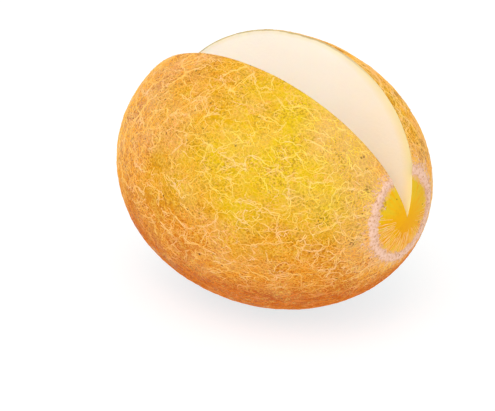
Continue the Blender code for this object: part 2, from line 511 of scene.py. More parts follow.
@dataclass(frozen=True)
class WaxyRind:
    """Ripe melon rind: a thin waxy skin over firm flesh.

    The wax gives a soft broad gloss, and the little light that sinks in gives a warm depth.
    """

    form: MelonForm
    tone: FruitTone
    lemon: str = "#DFBA04"
    golden: str = "#D99602"
    orange: str = "#D67A04"
    # Orange and the deepest orange stand partly for painted shade away from the lit flank and near
    # the floor
    burnt_and_shaded: str = "#B84A04"
    cap_gold: str = "#F4B604"
    cap_orange: str = "#F09C02"
    cap_lemon: str = "#E8C82A"
    tan: str = "#E2AA74"
    hairline: str = "#FFD660"
    # Painted shade in the grooves between strands, olive on the lemon side and brown on the orange
    # side
    lemon_groove_shade: str = "#B68C18"
    orange_groove_shade: str = "#BA6414"
    speck: str = "#60401C"
    stain: str = "#EBB692"

    # The cap inside the blossom ring
    cap_share: float = 0.74
    cap_border: float = 0.004
    cap_low_edge: float = -0.012
    cap_high_edge: float = 0.020
    cap_low_shade: float = -0.05
    cap_high_shade: float = 0.15
    streak_mm: float = 3.2
    streak_slant: float = 0.20
    streak_end: float = 0.004
    streak_start: float = 0.020
    plain_shade: float = 0.42

    # Tan haze on weathered skin
    haze_mm: float = 30.0
    haze_start: float = 0.50
    haze_full: float = 0.74
    haze_share: float = 0.65
    halo_reach: float = 0.021
    halo_share: float = 0.45
    weathered: Patch = Patch((-0.062, -0.040, 0.128), reach=0.064, core=0.0, share=0.48)
    corky: Patch = Patch((0.074, -0.028, 0.124), reach=0.027, core=0.006, share=0.30)

    # Pink cork at the ring
    fray_mm: float = 2.0
    fray_reach: float = 0.010
    stain_border: float = 0.0014
    stain_core: float = -0.0016
    stain_share: float = 0.8

    # Hairline cracks, with the noise that bends all fine lines
    bend_mm: float = 3.0
    bend_reach: float = 0.0034
    crackle_mm: float = 1.9
    crackle_border: float = 0.17
    crackle_core: float = 0.03
    crackle_patch_mm: float = 6.0
    crackle_start: float = 0.36
    crackle_full: float = 0.56
    crackle_share: float = 0.66

    # Painted shade in the grooves between crowded strands
    groove_mm: float = 1.4
    groove_start: float = 0.54
    groove_full: float = 0.40
    crowd_mm: float = 13.0
    crowd_start: float = 0.40
    crowd_full: float = 0.60
    crowd_low: float = 0.26
    crowd_high: float = 0.88

    # Specks, which are more common where the skin is hazy, and scabbed places
    speck_mm: float = 3.4
    speck_border: float = 0.24
    speck_core: float = 0.12
    speck_share: float = 0.9
    clean_haze: float = 0.54
    clean_odds: float = 0.985
    dirty_haze: float = 0.68
    dirty_odds: float = 0.30
    speckled: Patch = Patch((0.082, 0.004, 0.112), reach=0.056, core=0.02, share=0.28)
    blemishes: tuple[Point, ...] = (
        (0.090, -0.023, 0.103),
        (0.0955, -0.016, 0.0935),
        (0.076, -0.028, 0.122),
        (0.079, -0.047, 0.090),
        (0.089, -0.034, 0.076),
        (0.084, 0.026, 0.114),
    )
    blemish_reach: float = 0.0042
    blemish_core: float = 0.0012
    blemish_share: float = 0.9

    # Pores that soften the gloss
    pore_mm: float = 1.2
    pore_share: float = 0.25

    def cap_colour(self, tree: Tree, spoke: Socket, radius: Socket, height: Socket) -> Socket:
        """Adds the colour of the cap inside the ring, streaked towards the blossom end.

        Args:
            tree: The material's tree.
            spoke: The vector from the long axis to each point.
            radius: Its length.
            height: The point's height above the floor.

        Returns:
            The socket of the colour.
        """
        ring = self.form.ring_radius
        outwards = calculate_vector(tree, "NORMALIZE", spoke)
        along = calculate(tree, "MULTIPLY", radius, self.streak_slant)
        shift = add_node(tree, "ShaderNodeCombineXYZ", inputs={0: along}).outputs[0]
        place = calculate_vector(tree, "MULTIPLY_ADD", outwards, (ring, ring, ring), shift)
        streaks = add_noise(tree, place, self.streak_mm, detail=3.0, roughness=0.6)
        # The streaks fade out before they meet, and the upper side of the cap is yellower
        streaked = remap(tree, radius, self.streak_end, self.streak_start)
        shade = add_node(
            tree,
            "ShaderNodeMix",
            {"data_type": "FLOAT"},
            {0: streaked, 2: self.plain_shade, 3: streaks.outputs["Fac"]},
        ).outputs[0]
        upper = remap(
            tree,
            height,
            self.form.axis_height + self.cap_low_edge,
            self.form.axis_height + self.cap_high_edge,
            self.cap_low_shade,
            self.cap_high_shade,
        )
        stops = [(0.34, self.cap_orange), (0.46, self.cap_gold), (0.62, self.cap_lemon)]
        return colour_ramp(tree, calculate(tree, "ADD", shade, upper), stops)

    def stained(self, tree: Tree, place: Socket, radius: Socket) -> Socket:
        """Adds the share of thin pink cork, which runs out from both sides of the ring.

        Args:
            tree: The material's tree.
            place: Object coordinates.
            radius: Each point's distance from the long axis.

        Returns:
            The socket of the share, for both ends of the fruit.
        """
        beside = calculate(tree, "SUBTRACT", radius, self.form.ring_radius)
        off_ring = calculate(tree, "ABSOLUTE", beside)
        fray = add_noise(tree, place, self.fray_mm, detail=3.0, roughness=0.7).outputs["Fac"]
        frayed = calculate(tree, "MULTIPLY_ADD", fray, -self.fray_reach, off_ring)
        return remap(tree, frayed, self.stain_border, self.stain_core, high=self.stain_share)

    def cracked(self, tree: Tree, place: Socket, bent: Socket, cap: Socket) -> Socket:
        """Adds the share of hairline cracks in the skin, finer than the raised net.

        Args:
            tree: The material's tree.
            place: Object coordinates.
            bent: The same, moved so that lines are crooked.
            cap: The cap's share, as it has no cracks.

        Returns:
            The socket of the share.
        """
        cracks = add_node(
            tree,
            "ShaderNodeTexVoronoi",
            {"feature": "DISTANCE_TO_EDGE"},
            {"Scale": per_metre(self.crackle_mm), "Vector": bent},
        )
        line = remap(tree, cracks.outputs["Distance"], self.crackle_border, self.crackle_core)
        patches = add_noise(tree, place, self.crackle_patch_mm, detail=4.0, roughness=0.7)
        strength = remap(
            tree,
            patches.outputs["Fac"],
            self.crackle_start,
            self.crackle_full,
            high=self.crackle_share,
        )
        off_cap = calculate(tree, "SUBTRACT", strength, cap, clamp=True)
        return calculate(tree, "MULTIPLY", line, off_cap)

    def groove_shaded(self, tree: Tree, grit: Socket, bent: Socket, cap: Socket) -> Socket:
        """Adds the share of painted shade in the grooves between crowded strands.

        Args:
            tree: The material's tree.
            grit: The fine grain of the grooves.
            bent: Object coordinates, moved so that lines are crooked.
            cap: The cap's share, as it has no grooves.

        Returns:
            The socket of the share.
        """
        crowd = add_noise(tree, bent, self.crowd_mm, detail=3.0).outputs["Fac"]
        crowded = remap(
            tree, crowd, self.crowd_start, self.crowd_full, self.crowd_low, self.crowd_high
        )
        off_cap = calculate(tree, "SUBTRACT", crowded, cap, clamp=True)
        return calculate(tree, "MULTIPLY", grit, off_cap)

    def marked(
        self, tree: Tree, place: Socket, bent: Socket, haze: Socket, grit: Socket
    ) -> Socket:
        """Adds the share of dark marks: scattered specks, and small scabbed places made of flecks.

        Args:
            tree: The material's tree.
            place: Object coordinates.
            bent: The same, moved so that outlines are crooked.
            haze: The haze's pattern, as hazy skin has more specks.
            grit: The fine grain that breaks up the scabbed places.

        Returns:
            The socket of the share.
        """
        cells = add_node(
            tree,
            "ShaderNodeTexVoronoi",
            inputs={"Scale": per_metre(self.speck_mm), "Vector": bent},
        ).outputs
        spots = remap(
            tree, cells["Distance"], self.speck_border, self.speck_core, high=self.speck_share
        )
        lottery = add_node(tree, "ShaderNodeSeparateColor", inputs={0: cells["Color"]}).outputs[0]
        odds = remap(
            tree, haze, self.clean_haze, self.dirty_haze, self.clean_odds, self.dirty_odds
        )
        eased = calculate(tree, "SUBTRACT", odds, self.speckled.add(tree, place))
        chosen = calculate(tree, "GREATER_THAN", lottery, eased)
        marks = calculate(tree, "MULTIPLY", spots, chosen)
        for middle in self.blemishes:
            blemish = Patch(middle, self.blemish_reach, self.blemish_core, self.blemish_share)
            flecks = calculate(tree, "MULTIPLY", blemish.add(tree, bent), grit)
            marks = calculate(tree, "MAXIMUM", marks, flecks)
        return marks

    def build(self) -> bpy.types.Material:
        """Builds the material.

        Returns:
            The finished material.
        """
        material, tree, shader = new_material("waxy_golden_rind")
        place = add_node(tree, "ShaderNodeTexCoord").outputs["Object"]
        parts = add_node(tree, "ShaderNodeSeparateXYZ", inputs={0: place}).outputs
        flat = {1: parts["Y"], 2: parts["Z"]}
        across = add_node(tree, "ShaderNodeCombineXYZ", inputs=flat).outputs[0]
        axis = (0.0, 0.0, self.form.axis_height)
        spoke = calculate_vector(tree, "SUBTRACT", across, axis)
        radius = calculate_vector(tree, "DISTANCE", across, axis)
        blossom_half = calculate(tree, "GREATER_THAN", parts["X"], 0.0)

        # The skin is duller about the blossom ring and clear inside it
        ring = self.form.ring_radius
        near_ring = remap(tree, radius, ring + self.halo_reach, ring, high=self.halo_share)
        halo = calculate(tree, "MULTIPLY", near_ring, blossom_half)
        inside = remap(tree, radius, ring, ring - self.cap_border, high=self.cap_share)
        cap = calculate(tree, "MULTIPLY", inside, blossom_half)
        tone = self.tone.add(tree, place)
        # Painted shade as well as real colour: the ramp darkens where the tone marks the fruit's
        # shaded side
        stops = [(0.0, self.lemon), (0.27, self.golden), (0.60, self.orange), (0.78, self.burnt_and_shaded)]
        ground = colour_ramp(tree, tone, stops)
        gilded = blend(tree, cap, ground, self.cap_colour(tree, spoke, radius, parts["Z"]))

        # Corky tan haze where the skin has weathered
        haze = add_noise(tree, place, self.haze_mm, detail=6.0, roughness=0.7).outputs["Fac"]
        patches = calculate(
            tree, "ADD", self.weathered.add(tree, place), self.corky.add(tree, place)
        )
        dull = calculate(tree, "ADD", patches, halo)
        hazy = calculate(tree, "ADD", haze, calculate(tree, "SUBTRACT", dull, cap))
        haze_share = remap(tree, hazy, self.haze_start, self.haze_full, high=self.haze_share)
        hazed = blend(tree, haze_share, gilded, linear(self.tan))

        stain = calculate(tree, "MULTIPLY", self.stained(tree, place, radius), blossom_half)
        stained = blend(tree, stain, hazed, linear(self.stain))

        bend = add_noise(tree, place, self.bend_mm, detail=3.0, roughness=0.65).outputs["Color"]
        bent = calculate_vector(tree, "MULTIPLY_ADD", bend, (self.bend_reach,) * 3, place)
        cracks = self.cracked(tree, place, bent, cap)
        cracked = blend(tree, cracks, stained, linear(self.hairline))

        # Painted shade: the grooves between crowded strands are darkened, olive on the lemon side
        # and brown on the orange side
        grain = add_noise(tree, place, self.groove_mm, detail=3.0, roughness=0.6).outputs["Fac"]
        grit = remap(tree, grain, self.groove_start, self.groove_full)
        groove_shade_colour = colour_ramp(
            tree, tone, [(0.12, self.lemon_groove_shade), (0.45, self.orange_groove_shade)]
        )
        groove_shaded = blend(tree, self.groove_shaded(tree, grit, bent, cap), cracked, groove_shade_colour)

        marks = self.marked(tree, place, bent, haze, grit)
        marked = blend(tree, marks, groove_shaded, linear(self.speck))
        tree.links.new(marked, shader.inputs["Base Color"])

        pores = add_noise(tree, place, self.pore_mm, detail=2.0).outputs["Fac"]
        height = calculate(tree, "MULTIPLY_ADD", pores, self.pore_share, cracks)
        add_bump(tree, shader, height, strength=0.5, distance=0.0004)
        shader.inputs["Roughness"].default_value = 0.5
        shader.inputs["Specular IOR Level"].default_value = 0.05
        shader.inputs["Subsurface Weight"].default_value = 0.12
        shader.inputs["Subsurface Radius"].default_value = (1.0, 0.55, 0.15)
        shader.inputs["Subsurface Scale"].default_value = 0.004
        return material


@dataclass(frozen=True)
class NetCork:
    """Cork of the net: dry suberin that grew out of cracks, matt and paler than the rind. Its
    colour follows the fruit's tone, so it carries the same painted shade, darker away from the lit
    flank and near the floor.
    """

    name: str
    tone: FruitTone
    pale: str
    warm: str
    ember_and_shade: str
    dusty: str
    dust_mm: float = 12.0
    dust_start: float = 0.46
    dust_full: float = 0.70
    golden_tone: float = 0.50
    golden_dust: float = 0.75
    shaded_burnt_tone: float = 0.76
    shaded_burnt_dust: float = 0.20
    grain_mm: float = 0.7

    def build(self) -> bpy.types.Material:
        """Builds the material.

        Returns:
            The finished material.
        """
        material, tree, shader = new_material(self.name)
        place = add_node(tree, "ShaderNodeTexCoord").outputs["Object"]
        tone = self.tone.add(tree, place)
        # Painted shade: ember where the tone is darkest, away from the lit flank and near the floor
        stops = [(0.0, self.pale), (0.37, self.warm), (0.60, self.warm), (0.78, self.ember_and_shade)]
        ground = colour_ramp(tree, tone, stops)
        dust = add_noise(tree, place, self.dust_mm, detail=5.0, roughness=0.7).outputs["Fac"]
        # The deep orange side keeps less of the pale dust, which darkens it further as painted
        # shade
        kept = remap(
            tree, tone, self.golden_tone, self.shaded_burnt_tone, self.golden_dust, self.shaded_burnt_dust
        )
        share = remap(tree, dust, self.dust_start, self.dust_full, high=kept)
        dusty = blend(tree, share, ground, linear(self.dusty))
        tree.links.new(dusty, shader.inputs["Base Color"])
        grain = add_noise(tree, place, self.grain_mm, detail=2.0).outputs["Fac"]
        add_bump(tree, shader, grain, strength=0.5, distance=0.0003)
        shader.inputs["Roughness"].default_value = 0.75
        shader.inputs["Specular IOR Level"].default_value = 0.08
        return material


@dataclass(frozen=True)
class RingCork:
    """Thick cork of the blossom ring and the stem scar: dusty, pinkish and pitted, with painted
    shade in the scar's cracks and, over its own darker core, in its pit.
    """

    name: str
    pink: str = "#F5CCB4"
    tan: str = "#E6B490"
    pit: str = "#B07C54"
    grain_mm: float = 1.5
    crack_shade_tint: float = 0.30

    def build(self) -> bpy.types.Material:
        """Builds the material.

        Returns:
            The finished material.
        """
        material, tree, shader = new_material(self.name)
        place = add_node(tree, "ShaderNodeTexCoord").outputs["Object"]
        grain = add_noise(tree, place, self.grain_mm, detail=5.0, roughness=0.7).outputs["Fac"]
        # Painted shade: the crack number darkens the cracks and the pit, partly the scar's own
        # darker middle
        crack = add_node(tree, "ShaderNodeAttribute", {"attribute_name": "crack"}).outputs["Fac"]
        tint = calculate(tree, "MULTIPLY_ADD", crack, -self.crack_shade_tint, grain)
        colour = colour_ramp(tree, tint, [(0.32, self.pit), (0.43, self.tan), (0.56, self.pink)])
        tree.links.new(colour, shader.inputs["Base Color"])
        add_bump(tree, shader, grain, strength=0.8, distance=0.0006)
        shader.inputs["Roughness"].default_value = 0.85
        return material


@dataclass(frozen=True)
class CutFlesh:
    """Freshly cut melon flesh: wet, dense and cream white.

    Light sinks in a little, which softens shadows, and the wet face shines softly.
    """

    skin_line: str = "#BFA468"
    under_skin: str = "#F8DA98"
    cream: str = "#FBEDDE"
    ripe_end: str = "#F2DFC2"
    cavity: str = "#FFE9C0"
    seed_bed: str = "#FFDFA8"
    cloud_mm: float = 9.0
    cloud_depth: float = 0.0016
    heart_start: float = 0.020
    heart_full: float = 0.095
    heart_share: float = 0.85
    band_start: float = 0.010
    band_full: float = 0.090
    band_edge: float = 0.0012
    band_depths: tuple[float, float] = (0.0042, 0.0080)
    band_shares: tuple[float, float] = (0.55, 0.95)
    line_start: float = 0.060
    line_full: float = 0.010
    line_share: float = 0.9
    line_depth: float = 0.0020
    line_core: float = 0.0013
    bed_mm: float = 5.0
    fibre_mm: float = 1.6

    def build(self) -> bpy.types.Material:
        """Builds the material.

        Returns:
            The finished material.
        """
        material, tree, shader = new_material("wet_cream_flesh")
        place = add_node(tree, "ShaderNodeTexCoord").outputs["Object"]
        depth, wall = (
            add_node(tree, "ShaderNodeAttribute", {"attribute_name": name}).outputs["Fac"]
            for name in ("rind_depth", "cavity_wall")
        )
        # Depth below the rind, moved by up to 1.6 mm so that the bands are not ruled lines
        cloud = add_noise(tree, place, self.cloud_mm, detail=3.0).outputs["Fac"]
        moved = calculate(tree, "MULTIPLY_ADD", cloud, self.cloud_depth, depth)
        along = add_node(tree, "ShaderNodeSeparateXYZ", inputs={0: place}).outputs["X"]
        heart = remap(tree, along, self.heart_start, self.heart_full, high=self.heart_share)
        core = blend(tree, heart, linear(self.cream), linear(self.ripe_end))
        # The yellow band under the skin is wider and stronger towards the blossom end
        band_depth = remap(tree, along, self.band_start, self.band_full, *self.band_depths)
        band_share = remap(tree, along, self.band_start, self.band_full, *self.band_shares)
        band = remap(tree, moved, band_depth, self.band_edge, high=band_share)
        banded = blend(tree, band, core, linear(self.under_skin))
        # The thin line at the skin fades out towards the same end
        line_share = remap(tree, along, self.line_full, self.line_start, self.line_share, 0.0)
        line = remap(tree, moved, self.line_depth, self.line_core, high=line_share)
        lined = blend(tree, line, banded, linear(self.skin_line))
        # The cavity's wall is mottled: amber where the seeds lay, paler between
        beds = add_noise(tree, place, self.bed_mm, detail=4.0, roughness=0.6).outputs["Fac"]
        pulp = colour_ramp(tree, beds, [(0.40, self.seed_bed), (0.60, self.cavity)])
        tree.links.new(blend(tree, wall, lined, pulp), shader.inputs["Base Color"])
        fibre = add_noise(tree, place, self.fibre_mm, detail=3.0).outputs["Fac"]
        add_bump(tree, shader, fibre, strength=0.35, distance=0.0003)
        shader.inputs["Roughness"].default_value = 0.34
        shader.inputs["Subsurface Weight"].default_value = 0.6
        shader.inputs["Subsurface Radius"].default_value = (1.0, 0.75, 0.45)
        shader.inputs["Subsurface Scale"].default_value = 0.012
        return material


@dataclass(frozen=True)
class WetFibre:
    """Threads of placenta left on the scraped wall: wet, so they glisten and let light through."""

    thread: str = "#FFDA98"
    pale_thread: str = "#FFFAE8"
    cloud_mm: float = 7.0

    def build(self) -> bpy.types.Material:
        """Builds the material.

        Returns:
            The finished material.
        """
        material, tree, shader = new_material("wet_placenta_fibre")
        place = add_node(tree, "ShaderNodeTexCoord").outputs["Object"]
        cloud = add_noise(tree, place, self.cloud_mm, detail=3.0).outputs["Fac"]
        colour = colour_ramp(tree, cloud, [(0.35, self.thread), (0.65, self.pale_thread)])
        tree.links.new(colour, shader.inputs["Base Color"])
        shader.inputs["Roughness"].default_value = 0.25
        shader.inputs["Subsurface Weight"].default_value = 0.3
        shader.inputs["Subsurface Radius"].default_value = (1.0, 0.7, 0.4)
        shader.inputs["Subsurface Scale"].default_value = 0.002
        return material


@dataclass
class MelonBody:
    """The fruit itself: rind, both cut faces and the seed cavity as one closed mesh."""

    form: MelonForm
    rows: int = 150
    columns: int = 216
    face_columns: int = 36
    cavity_columns: int = 110
    cavity_stem_x: float = -0.068
    cavity_blossom_x: float = 0.076
    cavity_radius: float = 0.0270
    cavity_bluntness: float = 0.80
    carpels: int = 3
    carpel_depth: float = 0.0014
    rib_depth: float = 0.0009
    fibre_size: float = 0.0035
    fibre_stretch: float = 5.0
    fibre_depth: float = 0.0010
    bed_length: float = 0.0058
    bed_depth: float = 0.0006
    lump_size: float = 0.016
    lump_depth: float = 0.00025
    edge_crowding: float = 1.6
    knife_size: float = 0.010
    knife_stretch: float = 3.0
    knife_depth: float = 0.00022
    deep_in_flesh: float = 0.03
    wall_fade: float = 0.0022
    wall_share: float = 0.7

    def turns(self, count: int) -> np.ndarray:
        """Gives evenly spaced angles about the axis from one cut face round to the other."""
        return np.linspace(self.form.half_cut, 2 * math.pi - self.form.half_cut, count + 1)

    def rind(self) -> np.ndarray:
        """Lays out the bare rind, slightly lumpy and flat where the fruit rests.

        Returns:
            Its grid of points, from the blossom end to the stem end.
        """
        polar = np.linspace(0, math.pi, self.rows + 1)[:, None]
        turn = self.turns(self.columns)[None, :]
        polar, turn = np.broadcast_arrays(polar, turn)
        grid = self.form.point(polar, turn)
        lumps = relief(grid, self.lump_size, self.lump_depth) * np.sin(polar)
        grid = self.form.point(polar, turn, lumps)
        grid[..., 2] = np.maximum(grid[..., 2], 0.0)
        return grid

    def cavity(self, rows: int) -> np.ndarray:
        """Lays out the wall of the seed cavity, with the beds that held the seeds.

        Args:
            rows: How many rows of points it has.

        Returns:
            Its grid of points, from its blossom tip to its stem tip.
        """
        middle = (self.cavity_stem_x + self.cavity_blossom_x) / 2
        half_length = (self.cavity_blossom_x - self.cavity_stem_x) / 2
        angle = np.linspace(0, math.pi, rows)[:, None]
        turn = self.turns(self.cavity_columns)[None, :]
        angle, turn = np.broadcast_arrays(angle, turn)
        x = middle + half_length * np.cos(angle)
        lobes = -self.carpel_depth * np.cos(self.carpels * turn)
        ribs = lobes - self.rib_depth * np.cos(3 * self.carpels * turn)
        beds = np.cos(2 * math.pi * x / self.bed_length) * np.abs(np.sin(self.carpels * turn))
        fullness = np.sin(angle) ** self.cavity_bluntness
        radius = fullness * self.cavity_radius + np.sin(angle) * (ribs + beds * self.bed_depth)
        around = np.stack([x, radius * np.sin(turn), radius * np.cos(turn)], axis=-1)
        fibres = relief(around, self.fibre_size, self.fibre_depth, self.fibre_stretch)
        radius = radius + fibres * np.sin(angle)
        height = self.form.axis_height + radius * np.cos(turn)
        return np.stack([x, radius * np.sin(turn), height], axis=-1)

    def cut_face(self, outer: np.ndarray, inner: np.ndarray, side: int) -> np.ndarray:
        """Fills a cut face between its outer and inner edges.

        Args:
            outer: Points along the rind.
            inner: Points along the axis and the cavity, one for each outer point.
            side: 1 for the face at +Y, -1 for the one at -Y.

        Returns:
            The grid of points, with faint marks of the knife.
        """
        share = np.linspace(0, 1, self.face_columns + 1)[None, :, None] ** self.edge_crowding
        grid = outer[:, None] * (1 - share) + inner[:, None] * share
        marks = relief(grid, self.knife_size, self.knife_depth, self.knife_stretch)
        marks = marks * (np.sin(math.pi * share[..., 0]) ** 0.5)
        lean = self.form.half_cut
        normal = np.array([0, -side * math.cos(lean), math.sin(lean)])
        return grid + marks[..., None] * normal

    def build(self, materials: list[bpy.types.Material]) -> bpy.types.Object:
        """Builds the closed mesh.

        Args:
            materials: The rind's and the flesh's materials, in the order of Skin.

        Returns:
            The finished object.
        """
        rind = self.rind()
        outer_x = rind[:, 0, 0]
        first = int(np.argmin(np.abs(outer_x - self.cavity_blossom_x)))
        last = int(np.argmin(np.abs(outer_x - self.cavity_stem_x)))
        cavity = self.cavity(last - first + 1)
        builder = MeshBuilder()
        nothing = np.zeros(rind.shape[:2])
        builder.add_grid(rind, Skin.RIND.value, rind_depth=nothing, cavity_wall=nothing)
        everything = np.ones(cavity.shape[:2])
        deep = np.full(cavity.shape[:2], self.deep_in_flesh)
        builder.add_grid(cavity, Skin.FLESH.value, rind_depth=deep, cavity_wall=everything)
        for column, side in ((0, 1), (-1, -1)):
            outer = rind[:, column]
            inner = np.zeros_like(outer)
            inner[:, 2] = self.form.axis_height
            inner[: first + 1, 0] = np.linspace(outer[0, 0], cavity[0, 0, 0], first + 1)
            inner[last:, 0] = np.linspace(cavity[-1, 0, 0], outer[-1, 0], len(outer) - last)
            inner[first : last + 1] = cavity[:, column]
            grid = self.cut_face(outer, inner, side)
            depth = self.nearest(grid, outer)
            wall = np.exp(-self.nearest(grid, cavity[:, column]) / self.wall_fade)
            wall = self.wall_share * wall
            builder.add_grid(grid, Skin.FLESH.value, rind_depth=depth, cavity_wall=wall)
        body = builder.finish("melon_body", materials)
        attach(body)
        return body

    @staticmethod
    def nearest(grid: np.ndarray, line: np.ndarray) -> np.ndarray:
        """Gives each grid point's distance to the nearest point of a line of points."""
        gaps = grid[:, :, None, :] - line[None, None, :, :]
        return np.sqrt((gaps**2).sum(axis=-1)).min(axis=-1)


@dataclass(frozen=True)
class StrandStyle:
    """Sizes of one level of strands, from which they are grown."""

    name: str
    seed: int
    width: float
    height: float
    wander: float
    wander_size: float
    cell: float = 0.0
    scatter: float = 0.0
    subdivisions: int = 0
    missing_along: float = 0.0
    missing_across: float = 0.0
    bare: float = 0.0
    wander_seed: int | None = None
    ring_gap: float = 0.0
    sides: int = 4


@dataclass
class StrandTree:
    """Geometry Nodes tree that grows strands of cork along the edges of a mesh, on the rind."""

    form: MelonForm
    bare_mm: float = 15.0
    bare_seed: float = 2.0
    turning_mm: float = 36.0
    turning_start: float = 0.52
    turning_full: float = 0.60
    swelling_mm: float = 3.5
    swelling_low: float = 0.3
    swelling_high: float = 0.7
    thinnest: float = 0.35
    thickest: float = 1.6
    notch_margin: float = 0.0003
    tree: Tree = field(init=False)
    keys: dict[str, str] = field(default_factory=dict)

    def __post_init__(self) -> None:
        """Builds the tree."""
        self.tree = bpy.data.node_groups.new("cork_strands", "GeometryNodeTree")
        sockets = self.tree.interface
        sockets.new_socket("Geometry", in_out="OUTPUT", socket_type="NodeSocketGeometry")
        inputs = [
            ("Geometry", "NodeSocketGeometry"),
            ("Rind", "NodeSocketObject"),
            ("Subdivisions", "NodeSocketInt"),
            ("Wander", "NodeSocketFloat"),
            ("Wander Scale", "NodeSocketFloat"),
            ("Wander Seed", "NodeSocketInt"),
            ("Strand Width", "NodeSocketFloat"),
            ("Strand Height", "NodeSocketFloat"),
            ("Sides", "NodeSocketInt"),
            ("Missing Along", "NodeSocketFloat"),
            ("Missing Across", "NodeSocketFloat"),
            ("Bare Level", "NodeSocketFloat"),
            ("Ring Gap", "NodeSocketFloat"),
            ("Seed", "NodeSocketInt"),
            ("Cork", "NodeSocketMaterial"),
        ]
        for name, kind in inputs:
            socket = sockets.new_socket(name, in_out="INPUT", socket_type=kind)
            self.keys[name] = socket.identifier
        given = add_node(self.tree, "NodeGroupInput").outputs
        body = {"Object": given["Rind"]}
        rind = add_node(self.tree, "GeometryNodeObjectInfo", inputs=body).outputs["Geometry"]
        grown = self.thin_out(given)
        laid = self.lay(given, grown, rind)
        swept = self.sweep(given, laid, rind)
        self.press_flat(given, swept)

    def position(self) -> Socket:
        """Adds the position of each point and returns its socket."""
        return add_node(self.tree, "GeometryNodeInputPosition").outputs[0]

    def spoke(self) -> Socket:
        """Adds the vector from the fruit's middle to each point and returns its socket."""
        middle = (0.0, 0.0, self.form.axis_height)
        return calculate_vector(self.tree, "SUBTRACT", self.position(), middle)

    def compare(self, operation: str, first: Socket, second: Socket | float) -> Socket:
        """Adds a comparison of two numbers and returns its socket."""
        settings = {"data_type": "FLOAT", "operation": operation}
        return add_node(
            self.tree, "FunctionNodeCompare", settings, {0: first, 1: second}
        ).outputs[0]

    def combine(self, operation: str, first: Socket, second: Socket) -> Socket:
        """Adds a combination of two conditions and returns its socket."""
        settings = {"operation": operation}
        return add_node(
            self.tree, "FunctionNodeBooleanMath", settings, {0: first, 1: second}
        ).outputs[0]

    def delete(self, domain: str, geometry: Socket, chosen: Socket) -> Socket:
        """Adds the removal of the chosen edges or points and returns the socket of the rest."""
        inputs = {"Geometry": geometry, "Selection": chosen}
        return add_node(
            self.tree, "GeometryNodeDeleteGeometry", {"domain": domain}, inputs
        ).outputs[0]

    def thin_out(self, given: Any) -> Socket:
        """Takes away strands that never grew and whole patches of the rind that stayed bare.

        Args:
            given: The tree's inputs.

        Returns:
            The socket with the edges that are left.
        """
        tree = self.tree
        position = self.position()
        ends = add_node(tree, "GeometryNodeInputMeshEdgeVertices").outputs
        run = calculate_vector(tree, "SUBTRACT", ends["Position 1"], ends["Position 2"])
        heading = calculate_vector(tree, "NORMALIZE", run)
        around = calculate_vector(tree, "CROSS_PRODUCT", self.spoke(), (1.0, 0.0, 0.0))
        level = calculate_vector(tree, "NORMALIZE", around)
        likeness = calculate_vector(tree, "DOT_PRODUCT", heading, level)
        across = calculate(tree, "ABSOLUTE", likeness)
        # The grain runs along the fruit, and in some patches around it
        grain = add_noise(tree, position, self.turning_mm, detail=1.0, seed=given["Seed"])
        turned = remap(tree, grain.outputs["Fac"], self.turning_start, self.turning_full)
        off_grain = calculate(tree, "ABSOLUTE", calculate(tree, "SUBTRACT", across, turned))
        missing = remap(tree, off_grain, 0.0, 1.0, given["Missing Along"], given["Missing Across"])
        lottery = add_node(
            tree,
            "FunctionNodeRandomValue",
            {"data_type": "BOOLEAN"},
            {"Probability": missing, "Seed": given["Seed"]},
        ).outputs[3]
        patches = add_noise(tree, position, self.bare_mm, detail=2.0, seed=self.bare_seed)
        bare = self.compare("LESS_THAN", patches.outputs["Fac"], given["Bare Level"])
        return self.delete("EDGE", given["Geometry"], self.combine("OR", lottery, bare))

    def lay(self, given: Any, grown: Socket, rind: Socket) -> Socket:
        """Crinkles the edges and lays them on the rind, clear of the notch and the blossom ring.

        Args:
            given: The tree's inputs.
            grown: The edges.
            rind: The body's mesh.

        Returns:
            The socket with the laid edges.
        """
        tree = self.tree
        cuts = {"Mesh": grown, "Level": given["Subdivisions"]}
        split = add_node(tree, "GeometryNodeSubdivideMesh", inputs=cuts).outputs[0]
        crinkle = add_node(
            tree,
            "ShaderNodeTexNoise",
            {"noise_dimensions": "4D"},
            {
                "Vector": self.position(),
                "W": given["Wander Seed"],
                "Scale": given["Wander Scale"],
                "Detail": 3.0,
                "Roughness": 0.65,
            },
        ).outputs["Color"]
        centred = calculate_vector(tree, "SUBTRACT", crinkle, (0.5, 0.5, 0.5))
        moved = add_node(
            tree,
            "ShaderNodeVectorMath",
            {"operation": "SCALE"},
            {0: centred, "Scale": given["Wander"]},
        ).outputs[0]
        wandering = add_node(
            tree, "GeometryNodeSetPosition", inputs={"Geometry": split, "Offset": moved}
        ).outputs[0]

        parts = add_node(tree, "ShaderNodeSeparateXYZ", inputs={0: self.spoke()}).outputs
        sideways = calculate(tree, "ABSOLUTE", parts["Y"])
        slope = math.tan(self.form.half_cut)
        notch_width = calculate(tree, "MULTIPLY_ADD", parts["Z"], slope, self.notch_margin)
        in_notch = self.compare("LESS_THAN", sideways, notch_width)
        flat = {1: parts["Y"], 2: parts["Z"]}
        off_axis = add_node(tree, "ShaderNodeCombineXYZ", inputs=flat).outputs[0]
        radius = calculate_vector(tree, "LENGTH", off_axis)
        within = self.compare("LESS_THAN", radius, given["Ring Gap"])
        blossom_half = self.compare("GREATER_THAN", parts["X"], 0.0)
        in_ring = self.combine("AND", within, blossom_half)
        kept = self.delete("POINT", wandering, self.combine("OR", in_notch, in_ring))
        nearest = add_node(
            tree, "GeometryNodeProximity", {"target_element": "FACES"}, {0: rind}
        ).outputs["Position"]
        return add_node(
            tree, "GeometryNodeSetPosition", inputs={"Geometry": kept, "Position": nearest}
        ).outputs[0]

